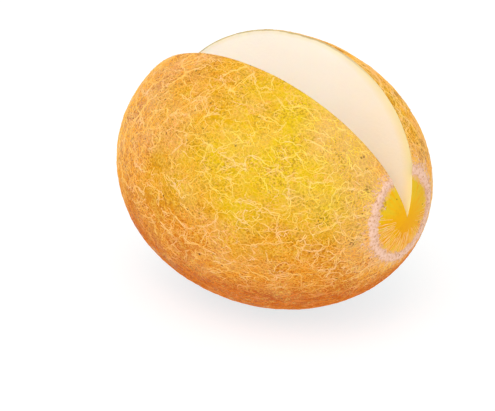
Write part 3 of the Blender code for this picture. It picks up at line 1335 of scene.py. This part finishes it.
    def sweep(self, given: Any, laid: Socket, rind: Socket) -> Socket:
        """Sweeps a low section along the edges, upright on the rind and of uneven girth.

        Args:
            given: The tree's inputs.
            laid: The edges on the rind.
            rind: The body's mesh.

        Returns:
            The socket with the strands.
        """
        tree = self.tree
        curves = add_node(tree, "GeometryNodeMeshToCurve", inputs={"Mesh": laid}).outputs[0]
        normal = add_node(tree, "GeometryNodeInputNormal").outputs[0]
        facing = add_node(
            tree,
            "GeometryNodeSampleNearestSurface",
            {"data_type": "FLOAT_VECTOR"},
            {"Mesh": rind, "Value": normal},
        ).outputs[0]
        upright = add_node(
            tree,
            "GeometryNodeSetCurveNormal",
            {"mode": "FREE"},
            {"Curve": curves, "Normal": facing},
        ).outputs[0]
        swelling = add_noise(
            tree, self.position(), self.swelling_mm, detail=2.0, seed=given["Seed"]
        ).outputs["Fac"]
        girth = remap(
            tree, swelling, self.swelling_low, self.swelling_high, self.thinnest, self.thickest
        )
        half_width = calculate(tree, "MULTIPLY", given["Strand Width"], 0.5)
        size = {0: given["Strand Height"], 1: half_width, 2: 1.0}
        section_size = add_node(tree, "ShaderNodeCombineXYZ", inputs=size).outputs[0]
        circle = add_node(
            tree,
            "GeometryNodeCurvePrimitiveCircle",
            inputs={"Radius": 1.0, "Resolution": given["Sides"]},
        ).outputs[0]
        section = add_node(
            tree, "GeometryNodeTransform", inputs={"Geometry": circle, "Scale": section_size}
        ).outputs[0]
        swept = {"Curve": upright, "Profile Curve": section, "Scale": girth, "Fill Caps": True}
        return add_node(tree, "GeometryNodeCurveToMesh", inputs=swept).outputs[0]

    def press_flat(self, given: Any, swept: Socket) -> None:
        """Presses strands flat where the fruit rests, and ends the tree.

        Args:
            given: The tree's inputs.
            swept: The strands.
        """
        tree = self.tree
        place = add_node(tree, "ShaderNodeSeparateXYZ", inputs={0: self.position()}).outputs
        pressed = {0: place["X"], 1: place["Y"], 2: calculate(tree, "MAXIMUM", place["Z"], 0.0)}
        resting = add_node(tree, "ShaderNodeCombineXYZ", inputs=pressed).outputs[0]
        flattened = add_node(
            tree, "GeometryNodeSetPosition", inputs={"Geometry": swept, "Position": resting}
        ).outputs[0]
        real = add_node(
            tree, "GeometryNodeRealizeInstances", inputs={"Geometry": flattened}
        ).outputs[0]
        # Strands with three sides keep their sharp ridge
        rounded = add_node(
            tree,
            "FunctionNodeCompare",
            {"data_type": "INT", "operation": "GREATER_THAN"},
            {2: given["Sides"], 3: 3},
        ).outputs[0]
        shaded = add_node(
            tree,
            "GeometryNodeSetShadeSmooth",
            inputs={"Geometry": real, "Shade Smooth": rounded},
        ).outputs[0]
        dressed = add_node(
            tree,
            "GeometryNodeSetMaterial",
            inputs={"Geometry": shaded, "Material": given["Cork"]},
        ).outputs[0]
        add_node(tree, "NodeGroupOutput", inputs={0: dressed})

    def grow(
        self,
        style: StrandStyle,
        edges: bpy.types.Mesh,
        rind: bpy.types.Object,
        cork: bpy.types.Material,
    ) -> None:
        """Grows one level of strands and bakes it to a plain mesh.

        Args:
            style: The level's sizes.
            edges: The mesh whose edges the strands follow.
            rind: The body that they lie on.
            cork: Their material.
        """
        guide = bpy.data.objects.new(style.name + "_guide", edges)
        bpy.context.scene.collection.objects.link(guide)
        modifier = guide.modifiers.new("strands", "NODES")
        modifier.node_group = self.tree
        given = {
            "Rind": rind,
            "Subdivisions": style.subdivisions,
            "Wander": style.wander,
            "Wander Scale": per_metre(1000 * style.wander_size),
            "Wander Seed": style.seed if style.wander_seed is None else style.wander_seed,
            "Strand Width": style.width,
            "Strand Height": style.height,
            "Sides": style.sides,
            "Missing Along": style.missing_along,
            "Missing Across": style.missing_across,
            "Bare Level": style.bare,
            "Ring Gap": style.ring_gap,
            "Seed": style.seed,
            "Cork": cork,
        }
        for name, value in given.items():
            modifier[self.keys[name]] = value
        graph = bpy.context.evaluated_depsgraph_get()
        mesh = bpy.data.meshes.new_from_object(guide.evaluated_get(graph))
        guide.modifiers.remove(modifier)
        bpy.data.objects.remove(guide)
        mesh.name = style.name
        strands = bpy.data.objects.new(style.name, mesh)
        bpy.context.scene.collection.objects.link(strands)
        attach(strands)


@dataclass
class CorkNet:
    """The raised net: bold braided strands, a web between them and hair-fine strands about them.

    A level's cell is the size of its meshes, and wander is how far its strands are crinkled.
    Twin follows the same edges as bold with a crinkle of its own, so that the two braid.
    """

    form: MelonForm
    tree: StrandTree
    skin_area: float = 0.0944
    cell_share: float = 0.866
    bold: StrandStyle = StrandStyle(
        "net_bold",
        seed=3,
        width=0.00054,
        height=0.00034,
        wander=0.0088,
        wander_size=0.0034,
        cell=0.0120,
        scatter=0.50,
        subdivisions=3,
        missing_along=0.15,
        missing_across=0.66,
        bare=0.36,
        ring_gap=0.029,
    )
    twin: StrandStyle = StrandStyle(
        "net_twin",
        seed=3,
        width=0.00046,
        height=0.00030,
        wander=0.0104,
        wander_size=0.0030,
        cell=0.0120,
        scatter=0.50,
        subdivisions=3,
        missing_along=0.15,
        missing_across=0.66,
        bare=0.36,
        wander_seed=8,
        ring_gap=0.029,
    )
    web: StrandStyle = StrandStyle(
        "net_web",
        seed=11,
        width=0.00046,
        height=0.00026,
        wander=0.0058,
        wander_size=0.0024,
        cell=0.0052,
        scatter=0.45,
        subdivisions=2,
        missing_along=0.28,
        missing_across=0.76,
        bare=0.40,
        ring_gap=0.027,
    )
    hair: StrandStyle = StrandStyle(
        "net_hair",
        seed=23,
        width=0.00048,
        height=0.00022,
        wander=0.0024,
        wander_size=0.0014,
        cell=0.0023,
        scatter=0.45,
        missing_along=0.25,
        missing_across=0.68,
        bare=0.38,
        ring_gap=0.027,
        sides=3,
    )
    down: StrandStyle = StrandStyle(
        "net_down",
        seed=37,
        width=0.00044,
        height=0.00020,
        wander=0.0018,
        wander_size=0.0012,
        cell=0.0019,
        scatter=0.45,
        missing_along=0.30,
        missing_across=0.60,
        bare=0.48,
        ring_gap=0.027,
        sides=3,
    )
    tangle: StrandStyle = StrandStyle(
        "ring_tangle",
        seed=41,
        width=0.00056,
        height=0.00030,
        wander=0.0022,
        wander_size=0.0016,
        cell=0.0019,
        scatter=0.45,
        subdivisions=1,
        missing_along=0.05,
        missing_across=0.20,
    )
    spur: StrandStyle = StrandStyle(
        "blossom_spurs", seed=31, width=0.00040, height=0.00024, wander=0.0050, wander_size=0.0030
    )
    ray: StrandStyle = StrandStyle(
        "blossom_rays", seed=32, width=0.00032, height=0.00018, wander=0.0030, wander_size=0.0050
    )
    tangle_half_width: float = 0.0046
    tangle_raggedness: float = 1.6
    tangle_rag_size: float = 0.004
    lines_seed: int = 5
    line_steps: int = 9
    spur_count: int = 190
    spur_starts: tuple[float, float] = (-0.001, 0.004)
    spur_shares: tuple[float, float] = (0.3, 1.0)
    spur_reach: float = 0.0085
    ray_count: int = 150
    ray_limits: tuple[float, float] = (-0.4, 0.3)
    ray_ends: tuple[float, float] = (0.009, 0.019)
    ray_gaps: tuple[float, float] = (0.0, 0.005)

    def edges(self, style: StrandStyle) -> bpy.types.Mesh:
        """Lays out one level's edges as the borders between scattered cells.

        Args:
            style: The level's sizes.

        Returns:
            A mesh of edges near the rind.
        """
        count = round(self.skin_area / (self.cell_share * style.cell**2))
        draw = random.Random(style.seed)
        golden_angle = math.pi * (3 - math.sqrt(5))
        spacing = math.sqrt(4 * math.pi / count)
        hull = bmesh.new()
        for i in range(count):
            x = 1 - (2 * i + 1) / count
            across = math.sqrt(1 - x * x)
            turn = golden_angle * i
            even = Vector((x, across * math.cos(turn), across * math.sin(turn)))
            move = Vector([draw.uniform(-1, 1) for _ in range(3)])
            hull.verts.new((even + style.scatter * spacing * move).normalized())
        bmesh.ops.convex_hull(hull, input=hull.verts)
        hull.normal_update()
        hull.faces.index_update()
        corners = np.array([face.normal for face in hull.faces])
        middles = np.array([face.calc_center_median() for face in hull.faces])
        corners *= np.sign((corners * middles).sum(axis=1))[:, None]
        borders = [
            tuple(face.index for face in edge.link_faces)
            for edge in hull.edges
            if len(edge.link_faces) == 2
        ]
        hull.free()
        polar = np.arccos(np.clip(corners[:, 0], -1, 1))
        turn = np.arctan2(corners[:, 1], corners[:, 2])
        mesh = bpy.data.meshes.new(style.name)
        mesh.from_pydata(self.form.point(polar, turn), borders, [])
        return mesh

    def ring_edges(self) -> bpy.types.Mesh:
        """Lays out the fine edges of the tangle, in a ragged band along the blossom ring.

        Returns:
            A mesh of edges.
        """
        mesh = self.edges(self.tangle)
        shape = bmesh.new()
        shape.from_mesh(mesh)
        outside = []
        for corner in shape.verts:
            place = corner.co
            radius = math.hypot(place.y, place.z - self.form.axis_height)
            raggedness = self.tangle_raggedness * noise.noise(place / self.tangle_rag_size)
            reach = self.tangle_half_width * (1 + raggedness)
            turn = math.atan2(place.y, place.z - self.form.axis_height)
            if place.x < 0 or abs(radius - self.form.ring_reach(turn)) > reach:
                outside.append(corner)
        bmesh.ops.delete(shape, geom=outside, context="VERTS")
        shape.to_mesh(mesh)
        shape.free()
        return mesh

    def radial_edges(self, name: str, lines: list[tuple[float, float, float]]) -> bpy.types.Mesh:
        """Lays out lines that run towards the blossom end.

        Args:
            name: The mesh's name.
            lines: For each line its angle about the axis and the radii of its two ends.

        Returns:
            A mesh of edges.
        """
        steps = self.line_steps
        half_girth = self.form.girth / 2
        points, borders = [], []
        for turn, inner, outer in lines:
            polar = np.arcsin(np.linspace(inner, outer, steps) / half_girth)
            borders += [(len(points) + k, len(points) + k + 1) for k in range(steps - 1)]
            points += list(self.form.point(polar, np.full(steps, turn)))
        mesh = bpy.data.meshes.new(name)
        mesh.from_pydata(points, borders, [])
        return mesh

    def build(
        self,
        rind: bpy.types.Object,
        thick_cork: bpy.types.Material,
        thin_cork: bpy.types.Material,
        ring_cork: bpy.types.Material,
    ) -> None:
        """Grows every level on the rind.

        Args:
            rind: The body.
            thick_cork: Material of the bold strands.
            thin_cork: Material of the fine strands.
            ring_cork: Material of the cork at the blossom ring.
        """
        for style in (self.bold, self.twin, self.web):
            self.tree.grow(style, self.edges(style), rind, thick_cork)
        for style in (self.hair, self.down):
            self.tree.grow(style, self.edges(style), rind, thin_cork)
        self.tree.grow(self.tangle, self.ring_edges(), rind, ring_cork)

        draw = random.Random(self.lines_seed)
        spurs, rays = [], []
        for i in range(self.spur_count):
            turn = 2 * math.pi * (i + draw.uniform(-0.5, 0.5)) / self.spur_count
            ring = self.form.ring_reach(turn)
            start = ring + draw.uniform(*self.spur_starts)
            end = start + draw.uniform(*self.spur_shares) * self.spur_reach
            spurs.append((turn, start, end))
        for i in range(self.ray_count):
            turn = 2 * math.pi * (i + draw.uniform(-0.5, 0.5)) / self.ray_count
            ring = self.form.ring_reach(turn)
            # The cap's upper side has hardly any rays
            if math.cos(turn) < draw.uniform(*self.ray_limits):
                inner = draw.uniform(*self.ray_ends)
                rays.append((turn, inner, ring - draw.uniform(*self.ray_gaps)))
        self.tree.grow(self.spur, self.radial_edges("spurs", spurs), rind, thick_cork)
        self.tree.grow(self.ray, self.radial_edges("rays", rays), rind, thick_cork)


@dataclass
class BlossomRing:
    """The ragged welt of cork round the blossom end, open where the notch passes through it."""

    form: MelonForm
    width: float = 0.0060
    height: float = 0.00060
    edge_sink: float = 0.0002
    root: float = 0.0009
    crown_bluntness: float = 3.5
    notch_gap: float = 0.004
    steps: int = 400
    columns: int = 13

    def build(self, cork: bpy.types.Material) -> None:
        """Builds the welt as one closed strip.

        Args:
            cork: Its material.
        """
        half_girth = self.form.girth / 2
        edge = self.form.half_cut + self.notch_gap
        turn = np.linspace(edge, 2 * math.pi - edge, self.steps + 1)
        middle = np.arcsin(self.form.ring_reach(turn) / half_girth)
        around = np.stack([np.cos(turn), np.sin(turn), np.zeros_like(turn)], axis=-1)
        # Half the width plus coarse and fine rags, each side sampled at a place of its own
        inner = 0.5 + relief(around, size=0.22, depth=0.34) + relief(around, size=0.026, depth=0.26)
        aside = around + 7.0
        outer = 0.5 + relief(aside, size=0.16, depth=0.34) + relief(aside, size=0.022, depth=0.30)
        drift = relief(around + 3.0, size=0.9, depth=0.0010)
        top, under = [], []
        for column in np.linspace(-1, 1, self.columns):
            reach = np.where(column < 0, inner, outer) * self.width * column
            polar = middle + (reach + drift) / half_girth
            crown = (1 - abs(column) ** self.crown_bluntness) * self.height
            place = self.form.point(polar, turn)
            fine = relief(place, size=0.0011, depth=0.00024)
            rough = fine + relief(place + 1.0, size=0.0030, depth=0.00014)
            top.append(self.form.point(polar, turn, crown - self.edge_sink + rough * (crown > 0)))
            under.append(self.form.point(polar, turn, -self.root))
        loop = np.array(top + under[::-1] + top[:1]).transpose(1, 0, 2)
        builder = MeshBuilder()
        builder.add_grid(loop)
        for row in (0, -1):
            cap = np.stack([loop[row, : self.columns], loop[row, self.columns : -1][::-1]])
            builder.add_grid(cap)
        attach(builder.finish("blossom_ring", [cork]))


@dataclass
class StemScar:
    """The disc of cork where the stalk came away: a cracked rim about a small pit."""

    form: MelonForm
    radius: float = 0.0085
    height: float = 0.0016
    rim_share: float = 0.22
    pit_share: float = 0.55
    pit_slope: float = 0.6
    pit_depth: float = 0.0012
    root: float = 0.0012
    cracks: int = 19
    crack_width: float = 0.22
    crack_start: float = 0.25
    crack_fade: float = 0.3
    crack_depth: float = 0.0005
    growth_rings: float = 26.0
    growth_depth: float = 0.00008
    notch_gap: float = 0.004
    rows: int = 34
    columns: int = 200

    def front(
        self, share: np.ndarray, turn: np.ndarray, floor: np.ndarray
    ) -> tuple[np.ndarray, np.ndarray]:
        """Gives how far the cork stands out of the hollow, and where it is cracked or pitted.

        Args:
            share: Distances from the axis as shares of the scar's radius.
            turn: Angles about the axis.
            floor: Points of the floor.

        Returns:
            A height for each point, and a number from 0 on sound cork to 1 in a crack or the pit.
        """
        rim = smooth(np.clip((1 - share) / self.rim_share, 0, 1))
        pit_wall = self.pit_slope * self.pit_share
        pit = smooth(np.clip((self.pit_share - share) / pit_wall, 0, 1))
        bend = relief(floor, size=0.004, depth=0.9)
        spacing = np.abs(np.sin(self.cracks * turn / 2 + bend))
        opened = np.clip((share - self.crack_start) / self.crack_fade, 0, 1)
        crack = np.clip(1 - spacing / self.crack_width, 0, 1) * opened
        rings = self.growth_depth * np.cos(self.growth_rings * share + bend)
        fine = relief(floor, size=0.0010, depth=0.00035)
        rough = fine + relief(floor + 1.0, size=0.0030, depth=0.00030)
        stand = self.height * rim - self.pit_depth * pit
        return stand + rim * (rings + rough - self.crack_depth * crack), np.maximum(crack, pit)

    def build(self, cork: bpy.types.Material) -> None:
        """Builds the scar as one closed disc, open where the notch passes through it.

        Args:
            cork: Its material.
        """
        edge = self.form.half_cut + self.notch_gap
        share = np.linspace(0, 1, self.rows + 1)[None, :]
        turn = np.linspace(edge, 2 * math.pi - edge, self.columns + 1)[:, None]
        share, turn = np.broadcast_arrays(share, turn)
        around = np.stack([np.cos(turn), np.sin(turn), np.zeros_like(turn)], axis=-1)
        coarse = relief(around, size=0.45, depth=0.16)
        ragged = self.radius * (1 + coarse + relief(around + 5.0, size=0.12, depth=0.08))
        polar = math.pi - np.arcsin(share * ragged / (self.form.girth / 2))
        floor = self.form.point(polar, turn)
        top, under = floor.copy(), floor.copy()
        stand, crack = self.front(share, turn, floor)
        top[..., 0] -= stand
        under[..., 0] += self.root
        builder = MeshBuilder()
        loop = np.concatenate([top, under[:, ::-1], top[:, :1]], axis=1)
        cracked = np.concatenate([crack, crack[:, ::-1], crack[:, :1]], axis=1)
        builder.add_grid(loop, crack=cracked)
        for row in (0, -1):
            builder.add_grid(np.stack([top[row], under[row]]), crack=np.stack([crack[row]] * 2))
        attach(builder.finish("stem_scar", [cork]))


@dataclass
class CavityFibres:
    """Threads that cling to the cavity's wall, mostly along the beds that held the seeds."""

    melon: MelonBody
    tree: StrandTree
    count: int = 420
    shortest: float = 0.008
    longest: float = 0.034
    stem_gap: float = 0.006
    blossom_gap: float = 0.030
    bed_turns: tuple[int, ...] = (1, 3, 5)
    bed_spread: float = 0.30
    slant: float = 0.35
    steps: int = 14
    wall_rows: int = 121
    style: StrandStyle = StrandStyle(
        "cavity_fibres", seed=51, width=0.00080, height=0.00045, wander=0.0060, wander_size=0.0060
    )

    def build(self, rind: bpy.types.Object, thread: bpy.types.Material) -> None:
        """Lays the threads along the cavity.

        Args:
            rind: The body whose cavity they cling to.
            thread: Their material.
        """
        draw = random.Random(self.style.seed)
        wall = self.melon.cavity(self.wall_rows)
        first_x = self.melon.cavity_stem_x + self.stem_gap
        last_x = self.melon.cavity_blossom_x - self.blossom_gap
        points, borders = [], []
        for _ in range(self.count):
            bed = draw.choice(self.bed_turns) * math.pi / self.melon.carpels
            turn = bed + draw.gauss(0, self.bed_spread)
            x = draw.uniform(first_x, last_x)
            length = draw.uniform(self.shortest, self.longest)
            slant = draw.uniform(-self.slant, self.slant)
            borders += [(len(points) + k, len(points) + k + 1) for k in range(self.steps - 1)]
            for k in range(self.steps):
                share = k / (self.steps - 1)
                points.append(self.on_wall(wall, x + share * length, turn + share * slant))
        mesh = bpy.data.meshes.new(self.style.name)
        mesh.from_pydata(points, borders, [])
        self.tree.grow(self.style, mesh, rind, thread)

    def on_wall(self, wall: np.ndarray, x: float, turn: float) -> np.ndarray:
        """Finds the point of the cavity's wall nearest to a place along the axis and a turn.

        Args:
            wall: The cavity's grid of points.
            x: The place along the axis.
            turn: The turn about the axis.

        Returns:
            The point.
        """
        row = int(np.argmin(np.abs(wall[:, 0, 0] - x)))
        turns = self.melon.turns(self.melon.cavity_columns)
        column = int(np.argmin(np.abs(turns - turn)))
        return wall[row, column]


@dataclass
class Studio:
    """Plain pale floor, soft light and the camera."""

    form: MelonForm
    azimuth: float = math.radians(41.2)
    elevation: float = math.radians(23.7)
    distance: float = 1.0
    focal_px: float = 1692.0
    centre_px: tuple[float, float] = (273.6, 169.2)
    key_place: Point = (0.30, -0.55, 1.10)
    key_size: float = 0.9
    key_power: float = 5.0
    key_aim: Point = (0.0, 0.0, 0.08)
    brightest: Point = (0.20, -0.52, 0.83)
    dimmest_cosine: float = -0.6
    dim_sky: float = 0.38
    bright_sky: float = 1.02
    floor_half: float = 6.0
    paper: str = "#C49E91"
    glow: str = "#D6F6FD"
    floor_glow: float = 0.77

    def direction(self) -> Vector:
        """Gives the direction from the fruit to the camera."""
        level = math.cos(self.elevation)
        east, north = math.sin(self.azimuth) * level, -math.cos(self.azimuth) * level
        return Vector((east, north, math.sin(self.elevation)))

    def add_camera(self) -> None:
        """Adds the camera, aimed so that the fruit's middle falls at its place in the picture."""
        back = self.direction()
        right = Vector((math.cos(self.azimuth), math.sin(self.azimuth), 0))
        up = back.cross(right)
        across = (IMAGE_WIDTH_PX / 2 - self.centre_px[0]) / self.focal_px * self.distance
        rise = -(IMAGE_HEIGHT_PX / 2 - self.centre_px[1]) / self.focal_px * self.distance
        middle = Vector((0, 0, self.form.axis_height))
        position = middle + back * self.distance
        target = middle + right * across + up * rise
        data = bpy.data.cameras.new("camera")
        data.sensor_width = SENSOR_WIDTH_MM
        data.lens = self.focal_px * SENSOR_WIDTH_MM / IMAGE_WIDTH_PX
        camera = bpy.data.objects.new("camera", data)
        camera.location = position
        camera.rotation_euler = (target - position).to_track_quat("-Z", "Y").to_euler()
        bpy.context.scene.collection.objects.link(camera)
        bpy.context.scene.camera = camera

    def add_key_light(self) -> None:
        """Adds the one lamp, a large soft square above and a little to the left of the camera."""
        data = bpy.data.lights.new("key_light", "AREA")
        data.shape = "SQUARE"
        data.size = self.key_size
        data.energy = self.key_power
        lamp = bpy.data.objects.new("key_light", data)
        lamp.location = self.key_place
        reach = Vector(self.key_aim) - Vector(self.key_place)
        lamp.rotation_euler = reach.to_track_quat("-Z", "Y").to_euler()
        bpy.context.scene.collection.objects.link(lamp)

    def add_floor(self) -> None:
        """Adds the pale floor, wide enough to fill the view."""
        shape = bmesh.new()
        bmesh.ops.create_grid(shape, x_segments=1, y_segments=1, size=self.floor_half)
        mesh = bpy.data.meshes.new("floor")
        shape.to_mesh(mesh)
        shape.free()
        material, _, shader = new_material("pale_paper_floor")
        # A cool glow keeps the shadow neutral where the fruit throws its warm light on the paper
        shader.inputs["Base Color"].default_value = linear(self.paper)
        shader.inputs["Roughness"].default_value = 0.8
        shader.inputs["Emission Color"].default_value = linear(self.glow)
        shader.inputs["Emission Strength"].default_value = self.floor_glow
        mesh.materials.append(material)
        floor = bpy.data.objects.new("floor", mesh)
        bpy.context.scene.collection.objects.link(floor)

    def build(self) -> None:
        """Sets up the floor, the light, the surroundings and the camera."""
        self.add_floor()
        self.add_key_light()
        self.add_surroundings()
        bpy.context.scene.view_settings.view_transform = "Standard"
        self.add_camera()

    def add_surroundings(self) -> None:
        """Adds a white room that is brightest above and a little to the left of the camera."""
        world = bpy.data.worlds.new("white_room")
        world.use_nodes = True
        tree = world.node_tree
        heading = add_node(tree, "ShaderNodeTexCoord").outputs["Generated"]
        brightest = Vector(self.brightest).normalized()
        likeness = calculate_vector(tree, "DOT_PRODUCT", heading, brightest)
        strength = remap(
            tree, likeness, self.dimmest_cosine, 1.0, self.dim_sky, self.bright_sky
        )
        sky = tree.nodes["Background"]
        sky.inputs["Color"].default_value = (1.0, 1.0, 1.0, 1.0)
        tree.links.new(strength, sky.inputs["Strength"])
        bpy.context.scene.world = world


def main() -> None:
    """Builds the melon and its setting, and logs the number of triangles of each piece it adds."""
    logging.basicConfig(level=logging.INFO, format="%(name)s: %(message)s")
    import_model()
    form = MelonForm()
    tone = FruitTone()
    Studio(form).build()
    rind = WaxyRind(form, tone).build()
    flesh = CutFlesh().build()
    melon = MelonBody(form)
    body = melon.build([rind, flesh])
    # Each net cork's third colour is partly real orange and partly painted shade on the dark side
    # of the tone
    thick_cork = NetCork("thick_net_cork", tone, "#FCE060", "#FFCC6E", "#EA8C34", "#FFD8B2").build()
    thin_cork = NetCork("thin_net_cork", tone, "#F6D240", "#F9BA48", "#DA7822", "#FAC896").build()
    ring_cork = RingCork("pink_ring_cork").build()
    strands = StrandTree(form)
    CorkNet(form, strands).build(body, thick_cork, thin_cork, ring_cork)
    BlossomRing(form).build(ring_cork)
    # The scar cork's darkest colour is also the painted shade in its cracks and pit
    StemScar(form).build(RingCork("brown_scar_cork", "#F0CE98", "#D6A468", "#8E6234").build())
    CavityFibres(melon, strands).build(body, WetFibre().build())


if __name__ == "__main__":
    main()
